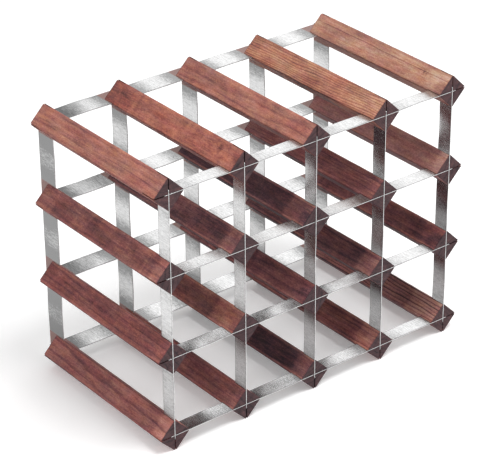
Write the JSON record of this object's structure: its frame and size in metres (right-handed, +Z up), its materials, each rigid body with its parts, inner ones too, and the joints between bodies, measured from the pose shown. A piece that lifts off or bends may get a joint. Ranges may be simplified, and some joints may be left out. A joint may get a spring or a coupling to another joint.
{
  "type": "wine rack",
  "caption": "Free-standing wine rack: square wooden bars turned on edge, tied by flat steel strips let into saw kerfs at front and rear, forming square bottle cells.",
  "frame": {"origin": "middle of the footprint, on the surface that the rack stands on", "axes": "+X along the width, to the right seen from the front; +Y from the front to the rear; +Z up"},
  "size_m": [0.4212, 0.236, 0.3246],
  "materials": {
    "stained_pine": "satin mahogany stain over straight-grained pine",
    "galvanised_steel": "satin galvanised, lightly mottled"
  },
  "bodies": {
    "root": {"bar_row1_col1": "stained_pine", "bar_row1_col2": "stained_pine", "bar_row1_col3": "stained_pine", "bar_row1_col4": "stained_pine", "bar_row1_col5": "stained_pine", "bar_row2_col1": "stained_pine", "bar_row2_col2": "stained_pine", "bar_row2_col3": "stained_pine", "bar_row2_col4": "stained_pine", "bar_row2_col5": "stained_pine", "bar_row3_col1": "stained_pine", "bar_row3_col2": "stained_pine", "bar_row3_col3": "stained_pine", "bar_row3_col4": "stained_pine", "bar_row3_col5": "stained_pine", "bar_row4_col1": "stained_pine", "bar_row4_col2": "stained_pine", "bar_row4_col3": "stained_pine", "bar_row4_col4": "stained_pine", "bar_row4_col5": "stained_pine", "front_upright_1": "galvanised_steel", "front_upright_2": "galvanised_steel", "front_upright_3": "galvanised_steel", "front_upright_4": "galvanised_steel", "front_upright_5": "galvanised_steel", "front_rail_1": "galvanised_steel", "front_rail_2": "galvanised_steel", "front_rail_3": "galvanised_steel", "front_rail_4": "galvanised_steel", "rear_upright_1": "galvanised_steel", "rear_upright_2": "galvanised_steel", "rear_upright_3": "galvanised_steel", "rear_upright_4": "galvanised_steel", "rear_upright_5": "galvanised_steel", "rear_rail_1": "galvanised_steel", "rear_rail_2": "galvanised_steel", "rear_rail_3": "galvanised_steel", "rear_rail_4": "galvanised_steel"}
  },
  "joints": []
}
